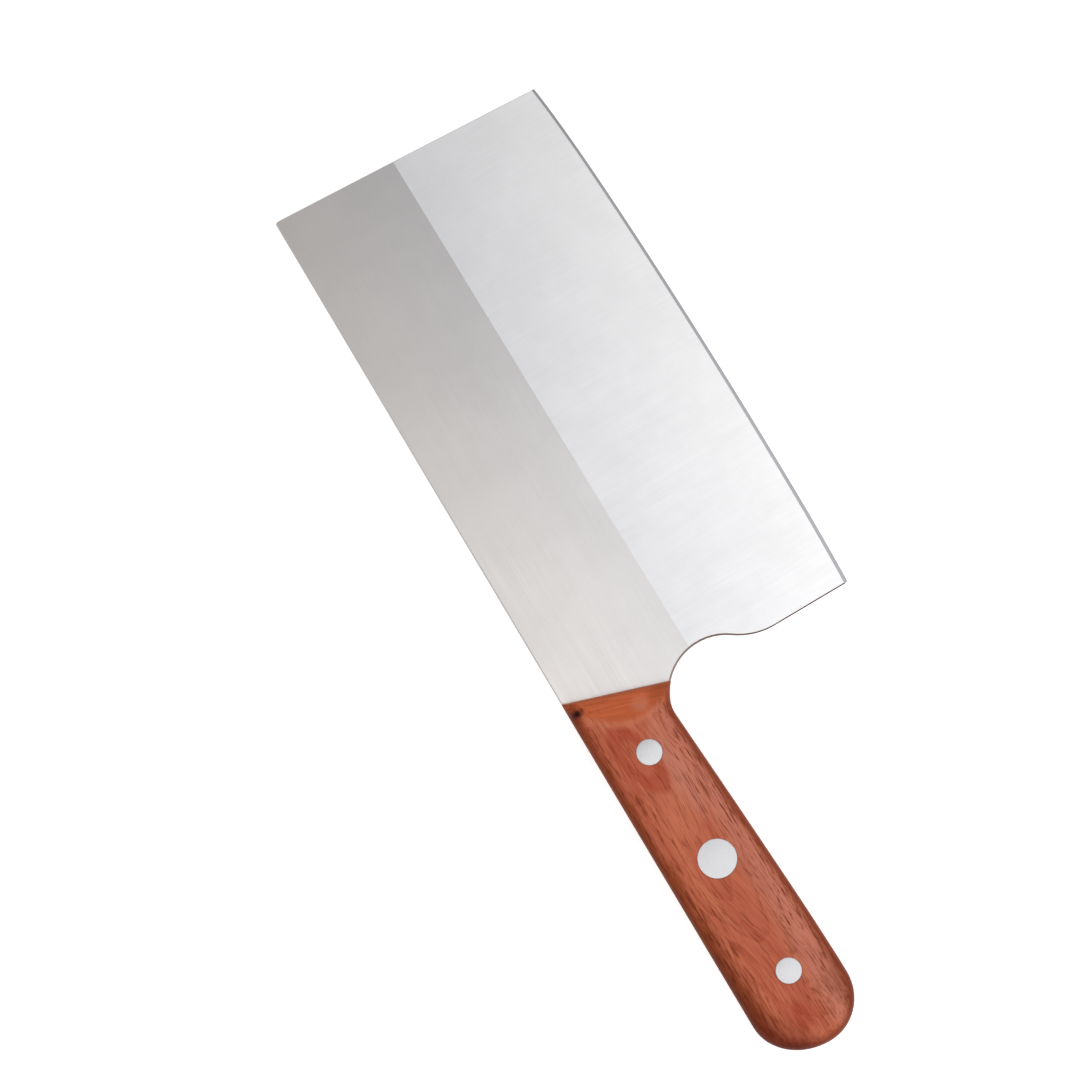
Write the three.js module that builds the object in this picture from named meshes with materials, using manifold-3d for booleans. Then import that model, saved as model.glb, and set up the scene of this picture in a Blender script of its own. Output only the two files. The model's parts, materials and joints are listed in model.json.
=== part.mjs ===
// A kitchen cleaver with a full tang: a ground blade, two wooden scales and three two-piece rivets.
// Millimetres. The knife lies on its left side: +X points to the tip, +Y to the spine and +Z up.
// It is drawn from the heel (x = 0), the spine (y = 0) and the middle plane of the blade (z = 0),
// and at the end it is moved so that its origin is the bottom centre of its bounding box.
import * as THREE from "three";
import { mergeVertices } from "three/addons/utils/BufferGeometryUtils.js";
import Module from "manifold-3d";

// Blade, seen from the side
const bladeLength = 183.1; // heel to tip, along the spine
const bladeDepth = 94.7; // spine to edge, where the edge hangs deepest
const tipRake = 5.15; // how far the edge ends behind the spine at the tip
const tipCorner = 1.3; // rounding of the front corner of the spine
const heelCorner = 0.9; // rounding of the rear corner of the edge
const deepestFromHeel = 30; // where the edge hangs deepest
const edgeRise = 4.9; // steady rise of the edge from there to the tip
const tipSweep = 1.0; // extra rise over the last stretch before the tip
const tipSweepPower = 10; // how late that extra rise begins
const heelRise = 0.5; // rise of the edge from its deepest point back to the heel

// Blade, in section
const bladeThickness = 2.5; // the sheet it is ground from
const grindAtTip = 40.5; // spine to the top of the grind
const grindAtHeel = 42.5;
const shoulderAtTip = 0.5; // thickness left above the cutting bevel: thin in front, to slice
const shoulderAtHeel = 0.75; // and thicker at the heel, to chop
const bevelAtTip = 0.9; // width of the cutting bevel
const bevelAtHeel = 1.2;
const edgeLand = 0.06; // thickness of the cutting edge itself
const spineBreak = 0.4; // chamfer along both edges of the spine

// Handle, seen from the side
const handleReach = 117; // heel to butt
const waist = 28.65; // narrowest width, at the finger notch
const buttWidth = 33.2; // width at the butt, the widest
const buttRound = 15.4; // length of the rounded butt
const buttPeak = 18.2; // spine to the furthest point of the butt
const bellyBlend = 19; // length in which the belly turns level before the butt
const notchRadius = 17.35; // finger notch between the heel and the handle
const notchDepth = 7.4; // how far the notch reaches into the blade, ahead of the heel
const notchBite = 0.76; // how far its full circle would reach into the handle
const bellyRound = 10; // tighter round that leads the notch into the belly
const heelBlend = 22; // round that leads the notch out into the straight heel

// Scales
const handleThickness = 20; // over both scales
const scaleRound = 5.5; // rounding of the outer edges
const frontLead = 12.2; // front end of the scales at the spine, ahead of the heel
const frontSlant = 18.2; // degrees that the front end leans back towards the belly
const frontHeight = 3; // height of the front end above the blade
const rampLength = 9.6; // length of the slope from the front end up to the full thickness

// Rivets
const smallHead = 8; // head diameter of the front and rear rivets
const largeHead = 12.1; // head diameter of the middle rivet
const smallSleeve = 5; // outer diameter of the sleeve
const largeSleeve = 7;
const sleeveWall = 1;
const headHeight = 1.8; // head, from its seat to the rim
const headCrown = 0.25; // crown of the head above its rim
const boreFloor = 0.6; // solid metal of the sleeve between its head seat and its bore
const frontRivetSetback = 20.4; // behind the front end of the scales
const rearRivetInset = 25.2; // ahead of the butt
const middleRivetLead = 1; // ahead of the point halfway between the other two
const rivetDrop = 1.25; // below the middle of the handle's width

// Clearances
const bondFilm = 0.1; // adhesive between the tang and each scale
const frontGap = 0.3; // from the front end of a scale to the step where the tang begins
const headGap = 0.1; // round a rivet head and under it
const headSink = 0.05; // crown of a rivet below the face of the wood
const sleeveGap = 0.1; // round a sleeve in its hole
const pinGap = 0.1; // round a pin in its sleeve
const endGap = 0.4; // past the end of a pin and the end of a sleeve

// Smoothness
const curveSteps = 8; // steps on a curve of an outline, doubled on an arc
const edgeSteps = 36; // steps along the cutting edge
const roundSteps = 6; // steps round an outer edge of a scale
const rivetSides = 32;
const crownSteps = 4; // steps from the rim of a rivet head to its middle

// Lines that several pieces share
const halfSheet = bladeThickness / 2;
const halfHandle = handleThickness / 2;
const tipEdgeX = bladeLength - tipRake;
const buttStartX = buttRound - handleReach;
const slant = THREE.MathUtils.degToRad(frontSlant);
const beyond = 4 * handleThickness; // a length that reaches past everything it cuts

const notchCentre = new THREE.Vector2(notchDepth - notchRadius, notchBite - waist - notchRadius);
const waistPoint = new THREE.Vector2(notchCentre.x, -waist);
const bellyEnd = new THREE.Vector2(buttStartX + bellyBlend, -buttWidth);
const bellyWay = bellyEnd.clone().sub(waistPoint).normalize(); // along the belly, towards the butt
const bellyOut = new THREE.Vector2(-bellyWay.y, bellyWay.x); // square to it, away from the handle

// centre of the belly's round: it touches the straight belly, and the notch from inside
const alongBelly = waistPoint.clone().addScaledVector(bellyOut, bellyRound);
const fromNotch = alongBelly.clone().sub(notchCentre);
const fromNotchWay = fromNotch.dot(bellyWay);
const roundReach = (notchRadius - bellyRound) ** 2 - fromNotch.lengthSq() + fromNotchWay ** 2;
const bellyRoundCentre = alongBelly.clone().addScaledVector(bellyWay, -fromNotchWay - Math.sqrt(roundReach));
const bellyStart = bellyRoundCentre.clone().addScaledVector(bellyOut, -bellyRound);
const bellyTouch = bellyStart.clone().sub(bellyRoundCentre).angle();
const notchTouch = bellyRoundCentre.clone().sub(notchCentre).angle();

// centre of the round that leads the notch out into the heel: it touches both from inside the blade
const heelBlendRise = Math.sqrt((heelBlend + notchRadius) ** 2 - (heelBlend - notchCentre.x) ** 2);
const heelBlendCentre = new THREE.Vector2(heelBlend, notchCentre.y - heelBlendRise);

// Depth of the cutting edge below the spine at a distance from the heel.
function edgeDepth(x) {
  if (x < deepestFromHeel) {
    return bladeDepth - heelRise * (1 - x / deepestFromHeel) ** 2;
  }
  const share = (x - deepestFromHeel) / (tipEdgeX - deepestFromHeel);
  return bladeDepth - edgeRise * share ** 2 - tipSweep * share ** tipSweepPower;
}

// Where the front end of the scales stands at a height y.
function frontX(y) {
  return frontLead + y * Math.tan(slant);
}

// Middle of the handle's width at a place x on the straight belly.
function middleY(x) {
  return (bellyEnd.y + (bellyWay.y / bellyWay.x) * (x - bellyEnd.x)) / 2;
}

// Solids: a closed geometry in, a solid to join and cut, a geometry out.
const wasm = await Module();
wasm.setup();

function toSolid(geometry) {
  const bare = geometry.clone();
  bare.deleteAttribute("normal");
  bare.deleteAttribute("uv");
  const merged = mergeVertices(bare);
  const vertProperties = new Float32Array(merged.getAttribute("position").array);
  const triVerts = new Uint32Array(merged.index.array);
  return new wasm.Manifold(new wasm.Mesh({ numProp: 3, vertProperties, triVerts }));
}

function toGeometry(solid) {
  const { vertProperties, triVerts } = solid.getMesh();
  const indexed = new THREE.BufferGeometry();
  indexed.setAttribute("position", new THREE.BufferAttribute(vertProperties, 3));
  indexed.setIndex(new THREE.BufferAttribute(triVerts, 1));
  const geometry = indexed.toNonIndexed();
  geometry.computeVertexNormals();
  return geometry;
}

// A flat outline made into a plate from z = low to z = high.
function plate(shape, low, high) {
  const geometry = new THREE.ExtrudeGeometry(shape, {
    depth: high - low,
    bevelEnabled: false,
    curveSegments: curveSteps,
  });
  return geometry.translate(0, 0, low);
}

// A profile of [radius, height] pairs turned round the z axis.
function turned(profile) {
  const points = profile.map(([radius, height]) => new THREE.Vector2(radius, height));
  return new THREE.LatheGeometry(points, rivetSides).rotateX(Math.PI / 2);
}

// Outline of the handle from the spine round the butt, along the belly and into the finger notch,
// as far as an angle on the notch.
function drawHandle(shape, notchEnd) {
  const upper = buttPeak;
  const lower = buttWidth - buttPeak;
  shape.lineTo(buttStartX, 0);
  shape.absellipse(buttStartX, -buttPeak, buttRound, upper, Math.PI / 2, Math.PI, false);
  shape.absellipse(buttStartX, -buttPeak, buttRound, lower, Math.PI, 1.5 * Math.PI, false);
  shape.quadraticCurveTo(bellyEnd.x, bellyEnd.y, bellyStart.x, bellyStart.y);
  shape.absarc(bellyRoundCentre.x, bellyRoundCentre.y, bellyRound, bellyTouch, notchTouch, true);
  shape.absarc(notchCentre.x, notchCentre.y, notchRadius, notchTouch, notchEnd, true);
}

// Outline of the blade and its tang.
function bladeOutline() {
  const tip = new THREE.Vector2(bladeLength, 0);
  const edgeTip = new THREE.Vector2(tipEdgeX, -edgeDepth(tipEdgeX));
  const tipDown = edgeTip.clone().sub(tip).normalize();
  const cornerEnd = tip.clone().addScaledVector(tipDown, tipCorner);
  const toNotch = notchCentre.clone().sub(heelBlendCentre).angle();
  const heelDepth = edgeDepth(heelCorner);

  const shape = new THREE.Shape();
  shape.moveTo(tip.x - tipCorner, 0);
  drawHandle(shape, toNotch - Math.PI);
  shape.absarc(heelBlendCentre.x, heelBlendCentre.y, heelBlend, toNotch, Math.PI, false);
  shape.lineTo(0, heelCorner - heelDepth);
  shape.quadraticCurveTo(0, -heelDepth, heelCorner, -heelDepth);
  for (let i = 1; i <= edgeSteps; i += 1) {
    const x = THREE.MathUtils.lerp(heelCorner, tipEdgeX, i / edgeSteps);
    shape.lineTo(x, -edgeDepth(x));
  }
  shape.lineTo(cornerEnd.x, cornerEnd.y);
  shape.quadraticCurveTo(tip.x, tip.y, tip.x - tipCorner, 0);
  return shape;
}

// Cross-section of the ground sheet at a place x: flat below the spine, then tapering to the cutting
// bevel. Its apex lies just outside the outline, which trims it to the land of the edge.
function groundSection(x) {
  const share = THREE.MathUtils.clamp(x / tipEdgeX, 0, 1);
  const depth = edgeDepth(THREE.MathUtils.clamp(x, 0, tipEdgeX));
  const grind = THREE.MathUtils.lerp(grindAtHeel, grindAtTip, share);
  const shoulder = THREE.MathUtils.lerp(shoulderAtHeel, shoulderAtTip, share);
  const bevel = THREE.MathUtils.lerp(bevelAtHeel, bevelAtTip, share);
  const apex = depth + (bevel * edgeLand) / (shoulder - edgeLand);
  const rightSide = [
    [halfSheet, bladeThickness],
    [halfSheet, -grind],
    [shoulder / 2, bevel - depth],
  ];
  const leftSide = rightSide.map(([z, y]) => [-z, y]).reverse();
  return [...rightSide, [0, -apex], ...leftSide].map(([z, y]) => [x, y, z]);
}

// Closed body through a row of sections with equally many points.
function loft(sections) {
  const count = sections[0].length;
  const last = (sections.length - 1) * count;
  const triangles = [];
  for (let row = 0; row < last; row += count) {
    for (let i = 0; i < count; i += 1) {
      const next = (i + 1) % count;
      triangles.push(row + i, row + next, row + count + i);
      triangles.push(row + next, row + count + next, row + count + i);
    }
  }
  for (let i = 1; i < count - 1; i += 1) {
    triangles.push(0, i + 1, i);
    triangles.push(last, last + i, last + i + 1);
  }
  const geometry = new THREE.BufferGeometry();
  geometry.setAttribute("position", new THREE.Float32BufferAttribute(sections.flat(2), 3));
  geometry.setIndex(triangles);
  return geometry;
}

function groundSheet() {
  const sections = [groundSection(-handleReach - bladeThickness), groundSection(0)];
  for (let i = 0; i <= edgeSteps; i += 1) {
    sections.push(groundSection(THREE.MathUtils.lerp(heelCorner, tipEdgeX, i / edgeSteps)));
  }
  sections.push(groundSection(bladeLength + bladeThickness));
  return loft(sections);
}

// Everything behind the front end of the scales, less the adhesive film, on the upper face.
function tangRelief() {
  const top = bladeThickness;
  const bottom = -buttWidth - bladeThickness;
  const shape = new THREE.Shape();
  shape.moveTo(frontX(top) + frontGap, top);
  shape.lineTo(-handleReach - bladeThickness, top);
  shape.lineTo(-handleReach - bladeThickness, bottom);
  shape.lineTo(frontX(bottom) + frontGap, bottom);
  return plate(shape, halfSheet - bondFilm, bladeThickness);
}

// The corner that the chamfer takes off the upper edge of the spine, ahead of the scales.
function spineCorner() {
  const shape = new THREE.Shape();
  shape.moveTo(-spineBreak, halfSheet);
  shape.lineTo(spineBreak, halfSheet - 2 * spineBreak);
  shape.lineTo(spineBreak, halfSheet + spineBreak);
  shape.lineTo(-spineBreak, halfSheet + spineBreak);
  const start = frontX(0) + frontGap;
  const corner = plate(shape, start, bladeLength + bladeThickness);
  // from a section drawn flat to one that runs along x
  const along = new THREE.Matrix4().makeBasis(
    new THREE.Vector3(0, 1, 0),
    new THREE.Vector3(0, 0, 1),
    new THREE.Vector3(1, 0, 0),
  );
  return corner.applyMatrix4(along);
}

// The mirror image of a geometry in the middle plane, with its faces turned to point out again.
function mirrored(geometry) {
  const copy = geometry.index ? geometry.toNonIndexed() : geometry.clone();
  copy.scale(1, 1, -1);
  const position = copy.getAttribute("position");
  const first = new THREE.Vector3();
  const second = new THREE.Vector3();
  for (let i = 0; i < position.count; i += 3) {
    first.fromBufferAttribute(position, i + 1);
    second.fromBufferAttribute(position, i + 2);
    position.setXYZ(i + 1, second.x, second.y, second.z);
    position.setXYZ(i + 2, first.x, first.y, first.z);
  }
  return copy;
}

// Places and sizes of the three rivets.
const frontY = middleY(frontX(0) - frontRivetSetback) - rivetDrop;
const frontRivetX = frontX(frontY) - frontRivetSetback;
const rearRivetX = rearRivetInset - handleReach;
const middleRivetX = (frontRivetX + rearRivetX) / 2 + middleRivetLead;
const rivets = [
  { name: "front", x: frontRivetX, head: smallHead, sleeve: smallSleeve },
  { name: "middle", x: middleRivetX, head: largeHead, sleeve: largeSleeve },
  { name: "rear", x: rearRivetX, head: smallHead, sleeve: smallSleeve },
].map((rivet) => ({ ...rivet, y: middleY(rivet.x) - rivetDrop }));

const crownTop = halfHandle - headSink; // height of the middle of a head
const rimTop = crownTop - headCrown;
const headSeat = rimTop - headHeight; // underside of a head

// A hole through tang and scales, with a counterbore in each scale for a head.
function rivetHole(rivet) {
  const shank = rivet.sleeve / 2 + sleeveGap;
  const head = rivet.head / 2 + headGap;
  const floor = headSeat - headGap;
  const past = halfHandle + headHeight;
  const profile = [
    [0, -past],
    [head, -past],
    [head, -floor],
    [shank, -floor],
    [shank, floor],
    [head, floor],
    [head, past],
    [0, past],
  ];
  return toSolid(turned(profile).translate(rivet.x, rivet.y, 0));
}

// The crowned top of a head, from its rim to its middle.
function crown(headRadius) {
  const points = [];
  for (let i = 0; i <= crownSteps; i += 1) {
    const angle = ((i / crownSteps) * Math.PI) / 2;
    points.push([headRadius * Math.cos(angle), rimTop + headCrown * Math.sin(angle)]);
  }
  points[crownSteps][0] = 0;
  return points;
}

// The half of a rivet with the pin: its head is in the right scale.
function rivetPin(rivet) {
  const radius = rivet.sleeve / 2 - sleeveWall - pinGap;
  const end = endGap + boreFloor - headSeat;
  const profile = [[0, end], [radius, end], [radius, headSeat], [rivet.head / 2, headSeat]];
  return toSolid(turned([...profile, ...crown(rivet.head / 2)]));
}

// The half with the sleeve: its head is in the left scale, and its bore is open towards the pin.
function rivetSleeve(rivet) {
  const outer = rivet.sleeve / 2;
  const bore = outer - sleeveWall;
  const end = headSeat - endGap;
  const floor = boreFloor - headSeat;
  const head = crown(rivet.head / 2).map(([radius, height]) => [radius, -height]).reverse();
  const seat = [[rivet.head / 2, -headSeat], [outer, -headSeat]];
  const sleeve = [[outer, end], [bore, end], [bore, floor], [0, floor]];
  return toSolid(turned([...head, ...seat, ...sleeve]));
}

// Blade: the outline trims the ground sheet, the tang is relieved and drilled, the spine is eased.
function makeBlade() {
  const outline = plate(bladeOutline(), -bladeThickness, bladeThickness);
  let blade = toSolid(outline).intersect(toSolid(groundSheet()));
  for (const cut of [tangRelief(), spineCorner()]) {
    blade = blade.subtract(toSolid(cut)).subtract(toSolid(mirrored(cut)));
  }
  for (const rivet of rivets) {
    blade = blade.subtract(rivetHole(rivet));
  }
  return blade;
}

// The handle as one rounded block that runs on past the front end of the scales.
function handleBlock() {
  const pastFront = frontLead + rampLength + 2 * scaleRound;
  const shape = new THREE.Shape();
  shape.moveTo(pastFront, 0);
  drawHandle(shape, 0);
  shape.lineTo(pastFront, notchCentre.y);
  const geometry = new THREE.ExtrudeGeometry(shape, {
    depth: handleThickness - 2 * scaleRound,
    bevelThickness: scaleRound,
    bevelSize: scaleRound,
    bevelOffset: -scaleRound,
    bevelSegments: roundSteps,
    curveSegments: curveSteps,
  });
  return toSolid(geometry.translate(0, 0, scaleRound - halfHandle));
}

// What is cut away in front of the scales: square at the front end, then up the rounded slope.
function frontCut() {
  const front = halfSheet + frontHeight;
  const rise = halfHandle - front;
  const past = halfHandle + rampLength;
  const shape = new THREE.Shape();
  shape.moveTo(-beyond, -past);
  shape.lineTo(rampLength, -past);
  shape.lineTo(rampLength, -halfHandle);
  shape.absellipse(rampLength, -front, rampLength, rise, 1.5 * Math.PI, Math.PI, true);
  shape.lineTo(0, front);
  shape.absellipse(rampLength, front, rampLength, rise, Math.PI, Math.PI / 2, true);
  shape.lineTo(rampLength, past);
  shape.lineTo(-beyond, past);
  const backwards = new THREE.Vector3(-Math.cos(slant), Math.sin(slant), 0);
  const up = new THREE.Vector3(0, 0, 1);
  const across = new THREE.Vector3().crossVectors(backwards, up);
  const place = new THREE.Matrix4().makeBasis(backwards, up, across).setPosition(frontLead, 0, 0);
  return toSolid(plate(shape, -beyond, beyond).applyMatrix4(place));
}

// One scale: the half of the handle above or below the blade, with its rivet holes.
function makeScale(handle, side) {
  const room = new THREE.BoxGeometry(2 * handleReach, 2 * beyond, halfHandle);
  room.translate(-handleReach / 2, 0, side * (halfSheet + halfHandle / 2));
  let scale = handle.intersect(toSolid(room));
  for (const rivet of rivets) {
    scale = scale.subtract(rivetHole(rivet));
  }
  return scale;
}

const knife = new THREE.Group();

function add(name, solid, finish, x = 0, y = 0) {
  const mesh = new THREE.Mesh(toGeometry(solid), new THREE.MeshStandardMaterial(finish));
  mesh.name = name;
  mesh.position.set(x, y, 0);
  knife.add(mesh);
}

const satinSteel = { color: 0xcfcdcb, roughness: 0.35, metalness: 1 };
const redHardwood = { color: 0xb4614a, roughness: 0.5, metalness: 0 };
const rivetMetal = { color: 0xd8d8da, roughness: 0.3, metalness: 1 };

add("blade", makeBlade(), satinSteel);
const handle = handleBlock().subtract(frontCut());
add("right_scale", makeScale(handle, 1), redHardwood);
add("left_scale", makeScale(handle, -1), redHardwood);
for (const rivet of rivets) {
  add(`${rivet.name}_rivet_pin`, rivetPin(rivet), rivetMetal, rivet.x, rivet.y);
  add(`${rivet.name}_rivet_sleeve`, rivetSleeve(rivet), rivetMetal, rivet.x, rivet.y);
}

// The origin goes to the bottom centre of the bounding box.
const box = new THREE.Box3().setFromObject(knife);
const centre = box.getCenter(new THREE.Vector3());
knife.position.set(-centre.x, -centre.y, -box.min.z);

const cleaver = new THREE.Group();
cleaver.add(knife);

export default cleaver;
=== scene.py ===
# %% [markdown]
# # A kitchen cleaver in steel and red hardwood
# The real knife is a ground steel blade whose tang runs the whole length of the handle, two scales of
# red hardwood on that tang, and three rivets that each come in two halves.
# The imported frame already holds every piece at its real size, so nothing is measured again here.
# This lesson gives each piece the softness that its tools leave, and then its finish.

# %% Load the frame
import json
import math

import bmesh
import bpy
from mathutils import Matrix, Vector

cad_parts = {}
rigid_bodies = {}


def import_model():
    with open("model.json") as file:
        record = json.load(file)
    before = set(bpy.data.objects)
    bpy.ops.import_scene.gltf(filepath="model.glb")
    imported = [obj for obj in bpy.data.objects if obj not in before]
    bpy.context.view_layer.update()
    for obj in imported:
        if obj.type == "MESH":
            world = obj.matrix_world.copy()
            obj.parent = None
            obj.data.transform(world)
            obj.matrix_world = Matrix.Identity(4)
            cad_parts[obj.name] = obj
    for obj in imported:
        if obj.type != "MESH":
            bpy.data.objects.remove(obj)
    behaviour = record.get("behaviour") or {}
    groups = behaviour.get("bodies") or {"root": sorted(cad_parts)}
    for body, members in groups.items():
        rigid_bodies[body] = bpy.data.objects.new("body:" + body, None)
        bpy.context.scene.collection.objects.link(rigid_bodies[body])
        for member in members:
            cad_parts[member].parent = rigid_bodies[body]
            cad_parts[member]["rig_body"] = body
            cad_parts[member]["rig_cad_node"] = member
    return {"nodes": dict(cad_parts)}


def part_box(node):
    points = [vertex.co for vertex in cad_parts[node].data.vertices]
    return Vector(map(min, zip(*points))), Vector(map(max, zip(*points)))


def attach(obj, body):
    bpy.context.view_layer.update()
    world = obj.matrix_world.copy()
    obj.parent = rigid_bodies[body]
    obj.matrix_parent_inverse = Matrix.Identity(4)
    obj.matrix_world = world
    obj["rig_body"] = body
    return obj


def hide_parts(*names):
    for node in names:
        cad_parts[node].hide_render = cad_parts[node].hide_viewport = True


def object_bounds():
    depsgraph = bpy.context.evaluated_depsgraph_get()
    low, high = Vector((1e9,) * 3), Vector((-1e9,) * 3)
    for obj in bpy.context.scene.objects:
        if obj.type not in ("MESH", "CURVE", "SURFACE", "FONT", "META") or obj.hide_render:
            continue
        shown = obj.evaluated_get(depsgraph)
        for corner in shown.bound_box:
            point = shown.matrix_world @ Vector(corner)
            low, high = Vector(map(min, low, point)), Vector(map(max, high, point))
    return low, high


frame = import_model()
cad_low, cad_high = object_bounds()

MM = 0.001  # the frame is in metres, and sizes below are written in millimetres
print("CAD box in mm:", [round(side / MM, 2) for side in cad_high - cad_low])

# %% [markdown]
# ## Picking by place
# By hand, a face or an edge is picked with the mouse. A script has no mouse, so it picks by a test of
# the place or the normal. One piece is open at a time, and nothing is picked when it opens, because an
# operator acts on everything that is picked.

# %% Choose a piece, open it and pick in it
def choose(piece):
    """One piece alone selected and active."""
    bpy.ops.object.select_all(action="DESELECT")
    piece.select_set(True)
    bpy.context.view_layer.objects.active = piece


def open_piece(piece):
    """One piece alone in edit mode, with nothing picked."""
    choose(piece)
    bpy.ops.object.mode_set(mode="EDIT")
    bpy.ops.mesh.select_all(action="DESELECT")


def pick(kind, test):
    """Picks the corners, edges or faces of the open piece that pass a test, and counts them."""
    bpy.ops.mesh.select_mode(type=kind)
    bpy.ops.mesh.select_all(action="DESELECT")
    mesh = bmesh.from_edit_mesh(bpy.context.object.data)
    parts = {"VERT": mesh.verts, "EDGE": mesh.edges, "FACE": mesh.faces}[kind]
    found = [part for part in parts if test(part)]
    for part in found:
        part.select_set(True)
    bmesh.update_edit_mesh(bpy.context.object.data)
    return len(found)


def close_piece():
    """Back to object mode."""
    bpy.ops.object.mode_set(mode="OBJECT")


print("helpers ready")

# %% [markdown]
# ## A copy of a frame piece
# Where the frame's own shape is right, the quickest start is a copy of it. Its mesh is loose triangles,
# so the corners are merged first, and then flat neighbours are dissolved into whole faces that can be
# picked.

# %% Copy a frame piece
MERGE = 0.003 * MM  # far below the thinnest real size, the land of the cutting edge
FLAT_ANGLE = math.radians(0.3)  # below the break at the top of the grind, which has to stay
GROUND = (math.cos(math.radians(20)), math.cos(math.radians(0.5)))  # lean of faces left as they are


def own_copy(source, name):
    """A copy of a piece with its own name and mesh."""
    choose(source)
    bpy.ops.object.duplicate()
    copy = bpy.context.object
    copy.name = name
    copy.data.name = name
    return copy


def copy_of_node(node, name):
    """A new piece with a merged copy of a frame node's mesh."""
    piece = own_copy(frame["nodes"][node], name)
    bpy.ops.object.parent_clear(type="CLEAR")
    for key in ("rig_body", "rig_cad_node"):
        del piece[key]
    piece.data.materials.clear()
    open_piece(piece)
    bpy.ops.mesh.customdata_custom_splitnormals_clear()
    bpy.ops.mesh.select_all(action="SELECT")
    bpy.ops.mesh.remove_doubles(threshold=MERGE)
    pick("FACE", lambda face: not GROUND[0] < abs(face.normal.z) < GROUND[1])
    bpy.ops.mesh.dissolve_limited(angle_limit=FLAT_ANGLE)
    close_piece()
    return piece


blade = copy_of_node("blade", "ground_blade")
blade_low, blade_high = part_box("blade")
print(blade.name, "has", len(blade.data.polygons), "faces")

# %% [markdown]
# ## Easing the blade's outline
# A blank is sheared or cut from sheet, and then its tip, heel and finger notch are run over a belt so
# that they don't bite. A rounding of a few tenths of a millimetre can hardly be seen as a shape, but it
# shows as a thin line, and without it the outline looks cut from paper. Every edge gets a bevel weight
# first: the thick wall of the notch is eased most, the heel less and less, the tip least. Then one
# Bevel modifier rounds them. The cutting edge stays as sharp as it is, and so do the edges that the
# wood covers. A bevel slides along the edges that meet it, so the thin triangles of the ground face
# behind the heel are dissolved before.

# %% Weigh the edges of tip, heel and notch
FRONT_SLANT = math.radians(18.2)  # lean of the front end of the scales
COVERED = 0.32 * MM  # the easing stops this far ahead of the wood, just before the step to the tang
HEEL_REACH = -21.5 * MM  # ground faces behind this are dissolved
EASE = 0.65 * MM  # where the weight is one
EASE_STEPS = 2
WEIGHT_STEPS = 40
NOTCH_Y, HEEL_Y = -2 * MM, -22 * MM  # full weight above the first, the heel's weight below the second
HEEL_WEIGHT, TIP_WEIGHT = 24, 9  # in steps
GROUND_BAND = (math.cos(math.radians(3)), math.cos(math.radians(0.5)))  # lean of the ground band
WALL_RISE, FACE_RISE = 0.3, 0.99  # normals rise at most so much on a wall, at least so much on a face
THIN = 0.2 * MM  # half the thickness of the steel where it counts as cutting edge
BACKWARDS = Vector((-math.cos(FRONT_SLANT), math.sin(FRONT_SLANT), 0))  # square to the front end
blade_middle = (blade_low.z + blade_high.z) / 2
scale_low, scale_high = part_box("right_scale")


def behind_front(point):
    """Distance behind the slanted front end of the scales."""
    return (point - scale_high).dot(BACKWARDS)


def ease_step(edge):
    """Bevel weight of an edge between a broad face and a wall, in steps, and none for any other edge."""
    rises = sorted(abs(face.normal.z) for face in edge.link_faces)
    if len(rises) != 2 or rises[0] > WALL_RISE or rises[1] < FACE_RISE:
        return 0
    if any(behind_front(corner.co) > MERGE - COVERED for corner in edge.verts):
        return 0
    if any(abs(corner.co.z - blade_middle) < THIN for corner in edge.verts):
        return 0
    middle = (edge.verts[0].co + edge.verts[1].co) / 2
    if middle.x > 0:
        return TIP_WEIGHT
    share = min(max((middle.y - HEEL_Y) / (NOTCH_Y - HEEL_Y), 0), 1)
    return round(HEEL_WEIGHT + (WEIGHT_STEPS - HEEL_WEIGHT) * share)


def is_heel_ground(face):
    """A ground face behind the heel, apart from the cutting bevel."""
    leans = GROUND_BAND[0] < abs(face.normal.z) < GROUND_BAND[1]
    return leans and face.calc_center_median().x < HEEL_REACH


open_piece(blade)
pick("FACE", is_heel_ground)
bpy.ops.mesh.dissolve_limited(angle_limit=FLAT_ANGLE)
bpy.ops.mesh.select_all(action="SELECT")
bpy.ops.mesh.bisect(plane_co=scale_high - BACKWARDS * COVERED, plane_no=BACKWARDS, threshold=MERGE)
for step in range(1, WEIGHT_STEPS + 1):
    found = pick("EDGE", lambda edge: ease_step(edge) == step)
    if found:
        bpy.ops.transform.edge_bevelweight(value=step / WEIGHT_STEPS)
        print(found, "edges to ease by", round(EASE / MM * step / WEIGHT_STEPS, 2), "mm")
close_piece()

# %% Ease them
easing = blade.modifiers.new("eased outline", "BEVEL")
easing.limit_method = "WEIGHT"
easing.width = EASE
easing.segments = EASE_STEPS
easing.use_clamp_overlap = False
bpy.ops.object.modifier_apply(modifier=easing.name)
print("eased blade has", len(blade.data.polygons), "faces")

# %% [markdown]
# ## Shading the blade
# Smooth shading hides the facets of the notch, but it would also blur the break where the grind begins,
# which turns by little more than a degree. So that line is marked sharp on its own.

# %% Smooth the walls, keep the grind line
WALL_ANGLE = math.radians(10)  # above a facet of the notch, below the cutting bevel
BREAK = (math.radians(0.5), math.radians(3))  # the turn at the top of the grind


def is_grind_line(edge):
    """An edge where two broad faces meet at a slight turn."""
    return len(edge.link_faces) == 2 and BREAK[0] < edge.calc_face_angle(0) < BREAK[1]


bpy.ops.object.shade_smooth_by_angle(angle=WALL_ANGLE)
open_piece(blade)
grind_edges = pick("EDGE", is_grind_line)
bpy.ops.mesh.mark_sharp()
close_piece()
print("grind line of", grind_edges, "edges kept sharp")

# %% [markdown]
# ## The scales
# Each scale is sawn to the outline of the tang, rounded over along its outer edges, and sloped down to
# the blade at its front end. It is made in that order: the frame's inner face gives the outline, which
# is extruded to the full thickness, bevelled all round but for the front, and then cut by a row of
# planes that follow the curve of the slope. The second scale is a mirrored copy.

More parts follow.
